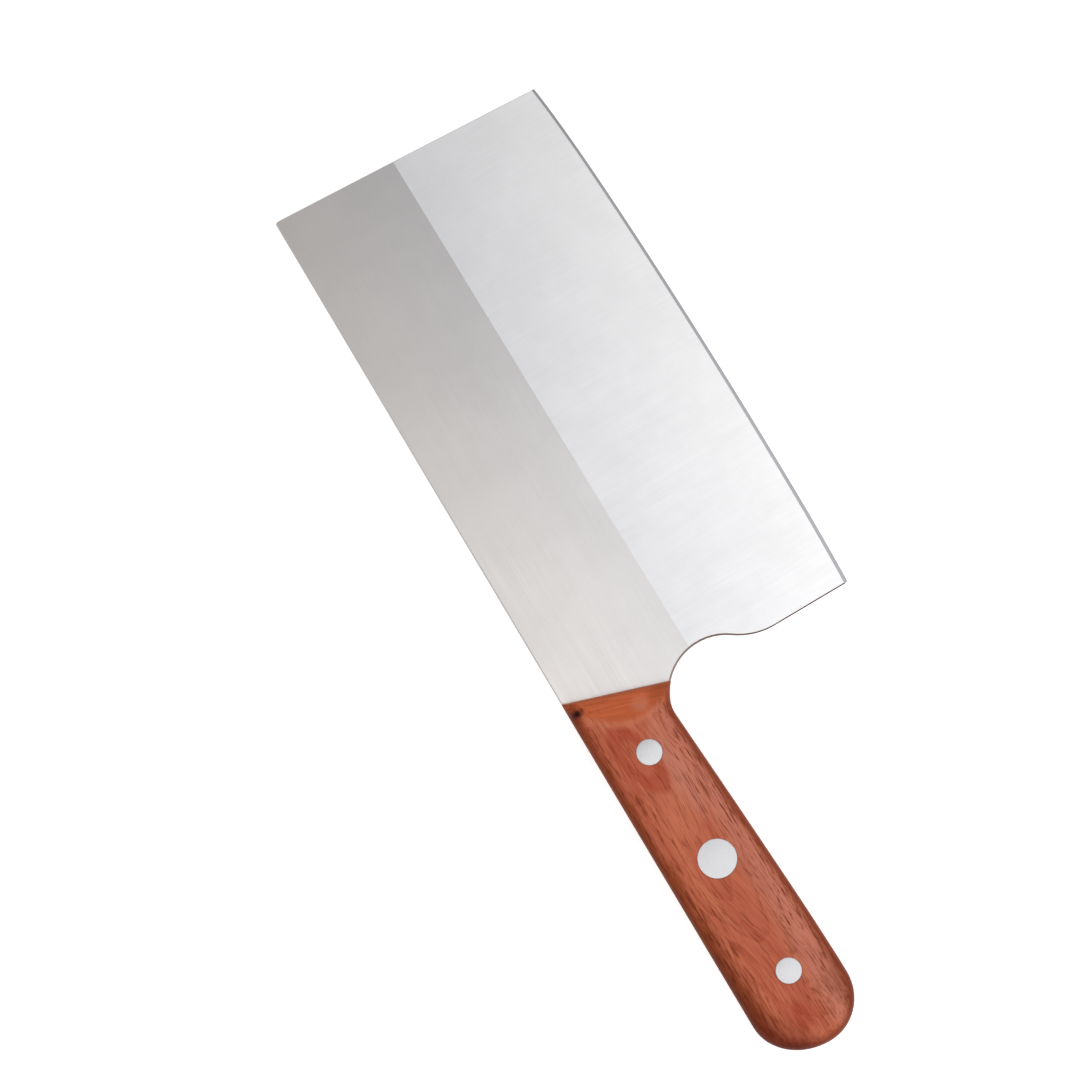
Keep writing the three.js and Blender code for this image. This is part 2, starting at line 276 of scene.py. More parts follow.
# %% Saw the outline
HOLE_REACH = 7.5 * MM  # no point of the outline lies this near to a rivet
RIVETS = ("front", "middle", "rear")


def rivet_centre(name):
    """The axis of a rivet, from the box of its pin."""
    low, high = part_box(name + "_rivet_pin")
    return (low + high) / 2


def is_hidden_edge(edge):
    """An edge inside the inner face, or round a rivet hole."""
    near = [(edge.verts[0].co - rivet_centre(name)).xy.length for name in RIVETS]
    return len(edge.link_faces) != 1 or min(near) < HOLE_REACH


right_scale = copy_of_node("right_scale", "right_wood_scale")
open_piece(right_scale)
pick("FACE", lambda face: any(abs(corner.co.z - scale_low.z) > MERGE for corner in face.verts))
bpy.ops.mesh.delete(type="FACE")
pick("EDGE", is_hidden_edge)
bpy.ops.mesh.delete(type="EDGE")
bpy.ops.mesh.select_all(action="SELECT")
bpy.ops.mesh.delete_loose(use_verts=True, use_edges=False, use_faces=False)
bpy.ops.mesh.select_all(action="SELECT")
bpy.ops.mesh.edge_face_add()
bpy.ops.mesh.dissolve_limited(angle_limit=FLAT_ANGLE)
close_piece()
print("outline of", len(right_scale.data.vertices), "corners in", len(right_scale.data.polygons), "face")

# %% Extrude the outline and round it over
ROUND_OVER = 5.5 * MM
ROUND_STEPS = 12
ON_FRONT = 0.02 * MM  # how near to the front end a corner counts as on it
thickness = scale_high.z - scale_low.z


def is_rounded(edge):
    """An edge of the outer face, apart from its front end."""
    outer = all(corner.co.z > scale_high.z - MERGE for corner in edge.verts)
    front = all(abs(behind_front(corner.co)) < ON_FRONT for corner in edge.verts)
    return outer and not front


open_piece(right_scale)
bpy.ops.mesh.select_all(action="SELECT")
bpy.ops.mesh.normals_make_consistent(inside=False)
bpy.ops.mesh.extrude_region_move(TRANSFORM_OT_translate={"value": (0, 0, thickness)})
bpy.ops.mesh.select_all(action="SELECT")
bpy.ops.mesh.normals_make_consistent(inside=False)
rounded = pick("EDGE", is_rounded)
bpy.ops.mesh.bevel(offset_type="OFFSET", offset=ROUND_OVER, segments=ROUND_STEPS, profile=0.5,
                   affect="EDGES", clamp_overlap=False)
close_piece()
print("rounded", rounded, "edges over", ROUND_OVER / MM, "mm")

# %% Slope the front end
FRONT_HEIGHT = 3 * MM
SLOPE_LENGTH = 9.6 * MM
SLOPE_STEPS = 10
slope_rise = thickness - FRONT_HEIGHT
front_corner = Vector((scale_high.x, scale_high.y, scale_low.z))


def slope_point(step):
    """A point on the quarter ellipse from the front end up to the outer face."""
    angle = math.pi / 2 * step / SLOPE_STEPS
    back = SLOPE_LENGTH * (1 - math.cos(angle))
    return front_corner + BACKWARDS * back + Vector((0, 0, FRONT_HEIGHT + slope_rise * math.sin(angle)))


open_piece(right_scale)
for step in range(SLOPE_STEPS):
    start = slope_point(step)
    along = slope_point(step + 1) - start
    outwards = along.cross(along.cross(BACKWARDS)).normalized()
    bpy.ops.mesh.select_all(action="SELECT")
    bpy.ops.mesh.bisect(plane_co=start, plane_no=outwards, use_fill=True, clear_outer=True,
                        threshold=MERGE)
bpy.ops.mesh.select_all(action="SELECT")
bpy.ops.mesh.remove_doubles(threshold=MERGE)
close_piece()
print("front end sloped over", SLOPE_LENGTH / MM, "mm;", len(right_scale.data.polygons), "faces")

# %% [markdown]
# ## Turning on a lathe
# A rivet half is a turned piece, and so is the stepped drill that makes room for it. By hand, the
# profile is drawn by extruding a single corner from point to point, and then spun once round its axis.
# The two ends lie on the axis, where merging closes them, and merging comes before the normals are
# turned outwards.

# %% Turn a profile
LATHE_STEPS = 64


def turned(name, profile, centre):
    """A closed piece spun from (radius, height) pairs round an upright axis."""
    radius, height = profile[0]
    bpy.ops.object.select_all(action="DESELECT")
    bpy.ops.mesh.primitive_plane_add(size=MM, location=(centre.x + radius, centre.y, height))
    piece = bpy.context.object
    piece.name = name
    piece.data.name = name
    bpy.ops.object.transform_apply(location=True, rotation=True, scale=True)
    open_piece(piece)
    bpy.ops.mesh.select_mode(type="VERT")
    bpy.ops.mesh.select_all(action="SELECT")
    bpy.ops.mesh.merge(type="CENTER")
    for (radius, height), (next_radius, next_height) in zip(profile, profile[1:]):
        step = (next_radius - radius, 0, next_height - height)
        bpy.ops.mesh.extrude_vertices_move(TRANSFORM_OT_translate={"value": step})
    bpy.ops.mesh.select_all(action="SELECT")
    bpy.ops.mesh.spin(steps=LATHE_STEPS, angle=math.tau, center=(centre.x, centre.y, 0), axis=(0, 0, 1))
    bpy.ops.mesh.select_all(action="SELECT")
    bpy.ops.mesh.remove_doubles(threshold=MERGE)
    bpy.ops.mesh.normals_make_consistent(inside=False)
    close_piece()
    return piece


print("lathe of", LATHE_STEPS, "steps ready")

# %% [markdown]
# ## Drilling the scales
# Each rivet hole is a shank hole with a flat counterbore for the head. Sanding the wood flush with the
# heads eases the rim of the counterbore a little, and that rim is the thin dark ring that shows round
# each rivet. A drill bit of that shape is turned, and a Boolean modifier takes it out of the wood.

# %% Drill three stepped holes
SLEEVES = {"front": 5 * MM, "middle": 7 * MM, "rear": 5 * MM}  # outer diameters
HEAD_HEIGHT = 1.8 * MM  # from its seat to its rim
HEAD_CROWN = 0.25 * MM
ROOM = 0.1 * MM  # under a head and round a sleeve
HEAD_ROOM = 0.02 * MM  # round a head
RIM_EASE = 0.06 * MM
PAST = 1 * MM  # how far the drill reaches beyond the wood


def head_radius(name):
    """Radius of a rivet head, from the box of its pin."""
    low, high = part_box(name + "_rivet_pin")
    return (high.x - low.x) / 2


def head_seat(name):
    """Height of the underside of a head in the right scale."""
    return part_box(name + "_rivet_pin")[1].z - HEAD_CROWN - HEAD_HEIGHT


def drill_profile(name):
    """Half the outline of the drill bit."""
    shank = SLEEVES[name] / 2 + ROOM
    head = head_radius(name) + HEAD_ROOM
    floor = head_seat(name) - ROOM
    rim = scale_high.z - RIM_EASE
    return [(0, scale_low.z - PAST), (shank, scale_low.z - PAST), (shank, floor), (head, floor),
            (head, rim), (head + RIM_EASE + PAST, scale_high.z + PAST), (0, scale_high.z + PAST)]


for name in RIVETS:
    drill = turned(name + "_drill", drill_profile(name), rivet_centre(name))
    bpy.context.view_layer.objects.active = right_scale
    cut = right_scale.modifiers.new("rivet hole", "BOOLEAN")
    cut.operation = "DIFFERENCE"
    cut.object = drill
    bpy.ops.object.modifier_apply(modifier=cut.name)
    bpy.data.objects.remove(drill)
print("drilled scale has", len(right_scale.data.polygons), "faces")

# %% Mirror the scale to the left side
def turn_over(piece):
    """Mirrors a piece to the other side of the blade."""
    open_piece(piece)
    bpy.ops.mesh.select_all(action="SELECT")
    bpy.ops.transform.resize(value=(1, 1, -1), center_override=(0, 0, blade_middle))
    bpy.ops.mesh.flip_normals()
    close_piece()


left_scale = own_copy(right_scale, "left_wood_scale")
turn_over(left_scale)
print("left scale from", round(min(corner.co.z for corner in left_scale.data.vertices) / MM, 2), "mm up")

# %% [markdown]
# ## Shading the scales
# The round-over flows into a large flat face. Plain smooth shading would bend the light over the whole
# flat, so the normals are weighted by area: the flat keeps its own, and the narrow facets turn the
# corner.

# %% Smooth the round-over
SMOOTH_ANGLE = math.radians(30)


def smooth(piece):
    """Smooth shading that leaves large flat faces flat."""
    choose(piece)
    bpy.ops.object.shade_smooth_by_angle(angle=SMOOTH_ANGLE)
    weighted = piece.modifiers.new("weighted normals", "WEIGHTED_NORMAL")
    weighted.keep_sharp = True
    bpy.ops.object.modifier_apply(modifier=weighted.name)


for scale in (right_scale, left_scale):
    smooth(scale)
print("scales smoothed")

# %% [markdown]
# ## The rivets
# A cutler's rivet is a pin pressed into a sleeve, each with its own head. The heads are sanded flush
# with the wood, which leaves them with an even, very shallow dome. The front and rear rivets are the
# same, so each half of them is turned once and copied. The middle one is larger.

# %% Turn the rivet halves
CROWN_STEPS = 10
SLEEVE_WALL = 1 * MM
PIN_ROOM = 0.1 * MM
BORE_FLOOR = 0.6 * MM  # solid metal between the sleeve's head seat and its bore
END_ROOM = 0.4 * MM


def crown(name):
    """The top of a head from its rim to its middle, an even and shallow dome."""
    angles = [math.pi / 2 * step / CROWN_STEPS for step in range(CROWN_STEPS)]
    rim = head_seat(name) + HEAD_HEIGHT
    dome = [(head_radius(name) * math.cos(a), rim + HEAD_CROWN * math.sin(a) ** 2) for a in angles]
    return dome + [(0, rim + HEAD_CROWN)]


def pin_profile(name):
    """The half with the pin, whose head lies in the right scale."""
    shank = SLEEVES[name] / 2 - SLEEVE_WALL - PIN_ROOM
    seat = head_seat(name)
    end = 2 * blade_middle - seat + BORE_FLOOR + END_ROOM
    return [(0, end), (shank, end), (shank, seat), (head_radius(name), seat)] + crown(name)


def sleeve_profile(name):
    """The half with the sleeve, drawn with its head up and turned over afterwards."""
    outer = SLEEVES[name] / 2
    bore = outer - SLEEVE_WALL
    seat = head_seat(name)
    end = 2 * blade_middle - seat + END_ROOM
    floor = seat - BORE_FLOOR
    return [(0, floor), (bore, floor), (bore, end), (outer, end), (outer, seat),
            (head_radius(name), seat)] + crown(name)


def copy_along(piece, name, shift):
    """A copy of a piece, moved inside its own mesh."""
    copy = own_copy(piece, name)
    open_piece(copy)
    bpy.ops.mesh.select_all(action="SELECT")
    bpy.ops.transform.translate(value=shift)
    close_piece()
    return copy


rivets = {}
for half, profile in (("pin", pin_profile), ("sleeve", sleeve_profile)):
    for name in ("front", "middle"):
        piece = turned(f"{name}_{half}", profile(name), rivet_centre(name))
        if half == "sleeve":
            turn_over(piece)
        smooth(piece)
        rivets[f"{name}_rivet_{half}"] = piece
    shift = rivet_centre("rear") - rivet_centre("front")
    shift.z = 0
    rivets[f"rear_rivet_{half}"] = copy_along(rivets[f"front_rivet_{half}"], f"rear_{half}", shift)
print("turned", len(rivets), "rivet halves")

# %% [markdown]
# ## Riding on the frame
# Every new piece stands for one frame node, which is hidden, and moves with the frame's only body.

# %% Say what each piece stands for
STANDS_FOR = [(blade, "blade", "blade_steel"), (right_scale, "right_scale", "handle_wood"),
              (left_scale, "left_scale", "handle_wood")]
STANDS_FOR += [(piece, node, "rivet_metal") for node, piece in rivets.items()]
for piece, node, slot in STANDS_FOR:
    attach(piece, "root")
    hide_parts(node)
print(len(STANDS_FOR), "pieces ride on the frame")

# %% [markdown]
# ## Colours and nodes
# Colours are written as they look on a screen, in sRGB hex, and a shader wants them linear. One small
# function adds any node with its settings, its values and its links, and every material is built with
# it.

# %% One colour function and one node function
def srgb(code):
    """A colour like B2604A in linear light, with full alpha."""
    shares = [int(code[place:place + 2], 16) / 255 for place in (0, 2, 4)]
    return (*(s / 12.92 if s <= 0.04045 else ((s + 0.055) / 1.055) ** 2.4 for s in shares), 1)


def add_node(tree, kind, sockets=None, **settings):
    """Adds a node, sets it, and fills or links its sockets."""
    node = tree.nodes.new(kind)
    for setting, value in settings.items():
        setattr(node, setting, value)
    for socket, value in (sockets or {}).items():
        if isinstance(value, bpy.types.NodeSocket):
            tree.links.new(value, node.inputs[socket])
        else:
            node.inputs[socket].default_value = value
    return node


def new_material(name):
    """An empty material and its node tree."""
    material = bpy.data.materials.new(name)
    material.use_nodes = True
    material.node_tree.nodes.clear()
    return material, material.node_tree


PER_MM = 1000.0  # Object coordinates are metres: this turns them to millimetres
MIX_A, MIX_B, MIX_RESULT = 6, 7, 2  # the colour sockets of a Mix node, whose names others share
print("B2604A is", [round(share, 3) for share in srgb("B2604A")])

# %% [markdown]
# ## Ground steel
# The blade is stainless sheet, and each part of it was finished on a different wheel. The broad band
# under the spine was run lengthwise on a fine belt, the ground band below it crosswise on a wet stone,
# the cutting bevel was honed, and the walls were only dressed. The dark brown of the dressed walls,
# deeper further down the heel, is painted shade, and the brown of the steel at the seam where the wood
# begins is painted contact shade.
# A wheel leaves parallel scratches, which spread a reflection across themselves and not along, so each
# finish has its own direction of anisotropy. The ground band is painted brighter than the belt band, and
# brighter still towards the edge: that is painted reflection. The scratches are a few hundredths of a
# millimetre apart and would never show, so they are drawn coarser.

# %% Stainless steel, scratched one way
NOISE_SPREAD = (0.3, 0.7)  # nearly all of a noise texture lies between these
CLOUD_SIZE = 18.0  # in mm, of the faint clouds that a wheel leaves
CLOUD_WEIGHT = 2.0  # clouds count twice as much as lines
CLOUD_SUM = (1.0, 2.0)  # nearly all of what they add up to lies between these
CLOUD_VALUE = (0.96, 1.04)  # how far clouds and lines darken and lighten the steel
LINE_GLOSS = 0.03  # how far the roughness changes from line to line
LINE_RELIEF, LINE_DEPTH = 0.05, 0.02 * MM


def ground_steel(name, upper, lower, span, roughness, anisotropy, turn, scratch):
    """Steel whose tone fades over a span of Y, with lines of the given size along X and Y, in mm."""
    material, tree = new_material(name)
    place = add_node(tree, "ShaderNodeTexCoord").outputs["Object"]
    fine = add_node(tree, "ShaderNodeMapping", {
        "Vector": place, "Scale": (PER_MM / scratch[0], PER_MM / scratch[1], PER_MM / min(scratch))})
    lines = add_node(tree, "ShaderNodeTexNoise", {
        "Vector": fine.outputs["Vector"], "Scale": 1.0, "Detail": 3.0, "Roughness": 0.6}).outputs["Fac"]
    clouds = add_node(tree, "ShaderNodeTexNoise", {
        "Vector": place, "Scale": PER_MM / CLOUD_SIZE, "Detail": 4.0, "Roughness": 0.65}).outputs["Fac"]

    # the tone fades from the upper to the lower height, and is lightly clouded and lined
    height = add_node(tree, "ShaderNodeSeparateXYZ", {0: place}).outputs["Y"]
    fade = add_node(tree, "ShaderNodeMapRange", {
        "Value": height, "From Min": span[0] * MM, "From Max": span[1] * MM}).outputs["Result"]
    tint = add_node(tree, "ShaderNodeMix", {0: fade, MIX_A: srgb(upper), MIX_B: srgb(lower)},
                    data_type="RGBA").outputs[MIX_RESULT]
    both = add_node(tree, "ShaderNodeMath", {0: clouds, 1: CLOUD_WEIGHT, 2: lines},
                    operation="MULTIPLY_ADD").outputs[0]
    value = add_node(tree, "ShaderNodeMapRange", {
        "Value": both, "From Min": CLOUD_SUM[0], "From Max": CLOUD_SUM[1],
        "To Min": CLOUD_VALUE[0], "To Max": CLOUD_VALUE[1]}).outputs["Result"]
    clouded = add_node(tree, "ShaderNodeHueSaturation", {"Value": value, "Color": tint}).outputs["Color"]

    rough = add_node(tree, "ShaderNodeMapRange", {
        "Value": lines, "From Min": NOISE_SPREAD[0], "From Max": NOISE_SPREAD[1],
        "To Min": roughness + LINE_GLOSS, "To Max": roughness - LINE_GLOSS}).outputs["Result"]
    bump = add_node(tree, "ShaderNodeBump", {
        "Height": lines, "Strength": LINE_RELIEF, "Distance": LINE_DEPTH}).outputs["Normal"]
    tangent = add_node(tree, "ShaderNodeTangent", direction_type="UV_MAP",
                       uv_map="scratch").outputs["Tangent"]
    shader = add_node(tree, "ShaderNodeBsdfPrincipled", {
        "Base Color": clouded, "Metallic": 1.0, "Roughness": rough, "Normal": bump, "Tangent": tangent,
        "Anisotropic": anisotropy, "Anisotropic Rotation": turn})
    add_node(tree, "ShaderNodeOutputMaterial", {"Surface": shader.outputs["BSDF"]})
    return material


ALONG, ACROSS = 0.25, 0.0  # turn of the spread of a reflection: scratches along the blade, or across it
FINISHES = [
    # name, upper and lower colour, the heights of both, roughness, anisotropy, its turn, size of lines
    ground_steel("stainless_belt_satin", "C6C2C0", "C4C2C2", (47, 5), 0.4, 0.6, ALONG, (45, 0.4)),
    # painted reflection: the ground band is painted brighter, most towards the edge
    ground_steel("stainless_wet_ground", "D5D5D7", "E7E7E8", (6, -47), 0.4, 0.6, ACROSS, (0.5, 30)),
    ground_steel("stainless_honed", "A3A2A6", "A9A8AC", (-43, -47), 0.4, 0.3, ACROSS, (0.4, 3)),
    # painted shade: the dressed walls are painted dark brown, deeper further down the heel
    ground_steel("stainless_dressed_edge_painted_shade", "8C7B74", "48281A", (20, -25), 0.35, 0.3, ALONG, (6, 0.4)),
    # painted contact shade: the steel at the seam where the wood begins is painted brown
    ground_steel("stainless_seam_painted_shade", "B88468", "B07858", (47, 15), 0.4, 0.3, ALONG, (6, 0.4))]
BELT, STONE, HONED, DRESSED, SEAM_SHADE = range(len(FINISHES))  # their places in that list
print(len(FINISHES), "finishes of steel")

# %% Give each face of the blade its finish
HONE = math.cos(math.radians(20))  # lean of the cutting bevel
REAR = (10 * MM, 22 * MM)  # heel and notch lie behind and below this
SCRATCH_TILE = 100 * MM  # size of the map that tells the scratches their direction


def finish_of(face):
    """The place of a face's finish in the list, from its lean and its place."""
    rise = abs(face.normal.z)
    centre = face.calc_center_median()
    sideways = rise < GROUND_BAND[0] and abs(face.normal.x) > abs(face.normal.y)
    if behind_front(centre) > 0:
        return SEAM_SHADE if rise > HONE else DRESSED
    if rise < HONE or sideways:
        return DRESSED if centre.x < REAR[0] and centre.y < REAR[1] else BELT
    if rise < GROUND_BAND[0]:
        return HONED
    return STONE if rise < GROUND_BAND[1] else BELT


blade.data.uv_layers.new(name="scratch")
open_piece(blade)
bpy.ops.mesh.select_all(action="SELECT")
bpy.ops.uv.cube_project(cube_size=SCRATCH_TILE)
for place, finish in enumerate(FINISHES):
    blade.data.materials.append(finish)
    found = pick("FACE", lambda face: finish_of(face) == place)
    blade.active_material_index = place
    bpy.ops.object.material_slot_assign()
    print(finish.name, "on", found, "faces")
close_piece()

# %% [markdown]
# ## Red hardwood
# The scales look like bubinga, a dense red hardwood, sanded fine and wiped with oil. The board is cut
# nearly flat to the growth rings, so the rings run out on the face as long nested arches. Short dark
# pores lie along the grain, which slants a little to the handle. A dark eye lies round the front rivet,
# the spine side is mottled brown heartwood darkened further by painted shade, and dark flecks line both
# rims. The sloped front shows more end grain and is more orange, a small knot sits at its corner, and
# the walls show streaks of side grain. Painted shade darkens the round-over and the walls, a painted
# sheen makes the top paler pink towards the belly, a painted glint lies on the slope, and a faint ring
# of painted shade lies round each rivet. All of it is drawn in the round from the Object coordinates, so
# that the grain runs on over the edges, and the normals tell where the wood turns to the side.

# %% Grain that wanders
GRAIN_SLANT = math.radians(5)
SWAY_LENGTH = (26.0, 9.0, 9.0)  # in mm, along and across the grain
SWAY = (7.0, 4.0, 4.0)  # in mm, between the two ends of the noise
BOWS = ((-125.0, -92.0, -3.0), (-88.0, -52.0, 3.0))  # from and to along the handle, and rise, in mm


def wandering(tree, in_mm, along):
    """Places that wander by a millimetre or two, and bow up at the middle rivet."""
    slow = add_node(tree, "ShaderNodeMapping", {
        "Vector": in_mm, "Scale": tuple(1 / length for length in SWAY_LENGTH)})
    sway = add_node(tree, "ShaderNodeTexNoise", {
        "Vector": slow.outputs["Vector"], "Scale": 1.0, "Detail": 2.0}).outputs["Color"]
    centred = add_node(tree, "ShaderNodeVectorMath", {0: sway, 1: (0.5, 0.5, 0.5)},
                       operation="SUBTRACT").outputs[0]
    wander = add_node(tree, "ShaderNodeVectorMath", {0: centred, 1: SWAY, 2: in_mm},
                      operation="MULTIPLY_ADD").outputs[0]
    for start, end, rise in BOWS:
        bow = add_node(tree, "ShaderNodeMapRange", {
            "Value": along["X"], "From Min": start, "From Max": end, "To Max": rise},
            interpolation_type="SMOOTHSTEP").outputs["Result"]
        shift = add_node(tree, "ShaderNodeCombineXYZ", {"Y": bow}).outputs["Vector"]
        wander = add_node(tree, "ShaderNodeVectorMath", {0: wander, 1: shift},
                          operation="ADD").outputs[0]
    return wander


print(len(BOWS), "bows in the grain")

# %% Bands, fibres, pores and rings
GRAIN = {
    # pattern: turn from the handle, length along the grain and width across it in mm, detail
    "bands": (GRAIN_SLANT, 45.0, 3.0, 3.0), "fibres": (GRAIN_SLANT, 16.0, 0.55, 2.0),
    "pores": (GRAIN_SLANT, 8.0, 0.34, 2.0), "clusters": (GRAIN_SLANT, 22.0, 5.0, 2.0),
    "mottle": (0.0, 6.0, 1.7, 3.0), "flecks": (0.0, 6.0, 0.8, 3.0),
    "end_grain": (math.pi / 2 - FRONT_SLANT, 12.0, 0.8, 2.0)}
PITH = (-50.0, 34.5, 20.0)  # in mm, where the pith comes up through the face
PITH_SLANT = math.radians(12)
RING_SPACING = 3.2  # in mm
ONE_WAVE = 0.314  # the scale at which a wave texture repeats once in a unit


def grain_patterns(tree, in_mm, wander):
    """Noise stretched along the grain or the rims, and growth rings round a slanting pith."""
    values = {}
    for name, (turn, length, width, detail) in GRAIN.items():
        stretched = add_node(tree, "ShaderNodeMapping", {
            "Vector": wander if turn == GRAIN_SLANT else in_mm,
            "Rotation": (0, 0, turn), "Scale": (length, width, width)},
            vector_type="TEXTURE").outputs["Vector"]
        values[name] = add_node(tree, "ShaderNodeTexNoise", {
            "Vector": stretched, "Scale": 1.0, "Detail": detail}).outputs["Fac"]
    pith = add_node(tree, "ShaderNodeMapping", {
        "Vector": wander, "Location": PITH, "Rotation": (0, PITH_SLANT, GRAIN_SLANT)},
        vector_type="TEXTURE").outputs["Vector"]
    values["rings"] = add_node(tree, "ShaderNodeTexWave", {
        "Vector": pith, "Scale": ONE_WAVE / RING_SPACING,
        "Distortion": 1.5, "Detail": 2.0, "Detail Scale": 1.2},
        wave_type="RINGS", rings_direction="X", wave_profile="SAW").outputs["Fac"]
    return values


print(len(GRAIN), "patterns of grain, and rings", RING_SPACING, "mm apart")

# %% Places with a colour of their own
PLACES = {
    # place: centre and radii in mm, how ragged its border is
    "pale middle": ((-67.0, 33.0, 20), (18.0, 7.0, 10), 0.7),
    # painted sheen: a paler pink place on the belly side
    "painted belly sheen": ((-55.0, 27.5, 20), (22.0, 5.0, 10), 0.7),
    "eye": ((-46.4, 35.6, 20), (11.0, 4.6, 10), 0.45),
    "butt flame": ((-138.5, 33.0, 20), (8.0, 4.2, 8), 0.7),
    "front arch": ((-15.8, 27.5, 20), (19.5, 18.5, 60), 0.1),
    # painted highlight: a small glint on the slope
    "painted slope glint": ((-32.0, 26.5, 18), (3.5, 3.5, 6), 0.5),
    "notch shade": ((-33.0, 19.5, 16), (5.5, 5.5, 8), 0.5),
    "dark butt side": ((-142.0, 48.5, 14), (50.0, 11.0, 18), 0.7),
    "dark butt corner": ((-151.0, 42.0, 14), (20.0, 14.0, 20), 0.7),
    "dark belly corner": ((-138.0, 16.0, 14), (22.0, 7.5, 20), 0.7),
    "knot stain": ((-25.0, 45.6, 18), (6.0, 3.6, 6), 0.7),
    "knot": ((-25.3, 44.7, 19), (1.9, 3.0, 4), 0.7)}
EYE_SLANT = math.radians(13)  # the eye alone lies aslant to the handle
RING_SHADE = 0.4  # width in mm of a faint ring of painted shade round a rivet
THROUGH = 100.0  # in mm, so that the ring runs through the whole scale


def distances(tree, in_mm, mottle):
    """Distance from each place and each rivet in its own radii, made ragged by the mottle."""
    places = dict(PLACES)
    for name in RIVETS:
        radius = head_radius(name) / MM + RING_SHADE
        places[name] = (rivet_centre(name) / MM, (radius, radius, THROUGH), 0.0)
    values = {}
    for name, (centre, radii, rag) in places.items():
        slant = EYE_SLANT if name == "eye" else 0
        offset = add_node(tree, "ShaderNodeMapping", {
            "Vector": in_mm, "Location": centre, "Rotation": (0, 0, slant), "Scale": radii},
            vector_type="TEXTURE").outputs["Vector"]
        length = add_node(tree, "ShaderNodeVectorMath", {0: offset},
                          operation="LENGTH").outputs["Value"]
        values[name] = add_node(tree, "ShaderNodeMath", {0: mottle, 1: rag, 2: length},
                                operation="MULTIPLY_ADD").outputs[0]
    return values


print(len(PLACES), "places, and a ring of painted shade round each rivet")

# %% Sides, turns and crowds of pores
SPINE_WAY, BELLY_WAY = (-0.045, 1, 0), (0.038, -1, 0)  # the handle's sides lean a little apart
END_GRAIN_RAG = 20.0
SIDES = {
    # side: way, the pattern that makes its border ragged, how far in mm
    "spine": (SPINE_WAY, "mottle", 12.0), "spine flecks": (SPINE_WAY, "flecks", 50.0),
    "belly flecks": (BELLY_WAY, "flecks", 50.0),
    "front end": (-BACKWARDS, "end_grain", END_GRAIN_RAG)}
TURNS = {"out": (0, 0, 1), "sideways": BACKWARDS.cross(Vector((0, 0, 1)))}
STREAKS = {"bands": -1.0, "fibres": 1.0, "flecks": 1.0}  # side streaks of each pattern, and their sign
BELLY_BORDER = (31.0, 21.0)  # pores grow denser from the first Y down to the second, in mm
CROWDING = {"rings": 0.06, "clusters": 0.35, "belly side": 0.05}


def sides(tree, in_mm, values):
    """Way towards the spine, the belly and the front end in mm, with a ragged border."""
    found = {}
    for name, (way, noise, rag) in SIDES.items():
        level = add_node(tree, "ShaderNodeVectorMath", {0: in_mm, 1: way},
                         operation="DOT_PRODUCT").outputs["Value"]
        found[name] = add_node(tree, "ShaderNodeMath", {0: values[noise], 1: rag, 2: level},
                               operation="MULTIPLY_ADD").outputs[0]
    return found


def turns(tree, normal, values):
    """How far the wood faces out or sideways, and side grain that shows where it faces sideways."""
    found = {}
    for name, way in TURNS.items():
        share = add_node(tree, "ShaderNodeVectorMath", {0: normal, 1: way},
                         operation="DOT_PRODUCT").outputs["Value"]
        found[name] = add_node(tree, "ShaderNodeMath", {0: share}, operation="ABSOLUTE").outputs[0]
    for name, sign in STREAKS.items():
        found["side " + name] = add_node(tree, "ShaderNodeMath", {
            0: values[name], 1: sign, 2: found["sideways"]}, operation="MULTIPLY_ADD").outputs[0]
    return found


def crowded_pores(tree, values):
    """Pores in clusters, with more of them on the dark line of a ring and on the belly side."""
    belly_side = add_node(tree, "ShaderNodeMapRange", {
        "Value": values["height"],
        "From Min": BELLY_BORDER[0], "From Max": BELLY_BORDER[1]}).outputs["Result"]
    sources = {**values, "belly side": belly_side}
    crowd = values["pores"]
    for name, share in CROWDING.items():
        crowd = add_node(tree, "ShaderNodeMath", {0: sources[name], 1: share, 2: crowd},
                         operation="MULTIPLY_ADD").outputs[0]
    return crowd


print(len(SIDES), "sides and", len(STREAKS), "kinds of side streaks")

# %% [markdown]
# ## Wood in layers
# A grainer paints wood as glazes over a ground colour, and the material is built the same way. Each
# layer has a value that says where it lies, a border from where it starts to where it is full, a
# strength and a colour. A ring such as the eye takes two layers: a dark one, and a smaller one that
# restores the ground. A picture laid over the faces would be quicker, but it would break at every edge
# of the round-over.

